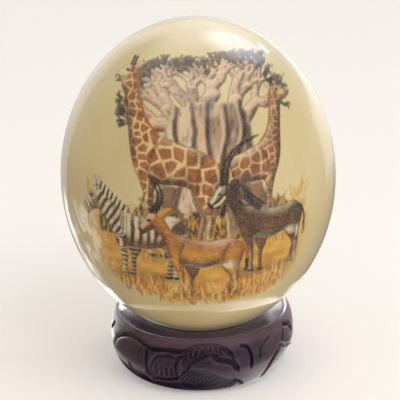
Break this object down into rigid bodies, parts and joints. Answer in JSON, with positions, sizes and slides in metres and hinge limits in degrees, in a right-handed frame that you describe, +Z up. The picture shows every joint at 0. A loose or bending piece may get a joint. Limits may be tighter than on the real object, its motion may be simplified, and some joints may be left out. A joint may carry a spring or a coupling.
{
  "type": "ostrich egg on carved stand",
  "caption": "Lacquered ostrich egg with a printed savanna scene, standing on end in a low carved hardwood ring.",
  "frame": {"origin": "centre of the ring's foot, on the surface that the ring stands on", "axes": "+Z up along the egg's long axis, -Y towards the front, where the picture and the fullest carving are"},
  "size_m": [0.129, 0.129, 0.1696],
  "materials": {
    "lacquered_shell": "cream eggshell with a printed picture under clear gloss lacquer",
    "polished_hardwood": "dark brown hardwood, carved and polished"
  },
  "bodies": {
    "root": {"ostrich_egg": "lacquered_shell", "carved_ring_stand": "polished_hardwood"}
  },
  "joints": []
}
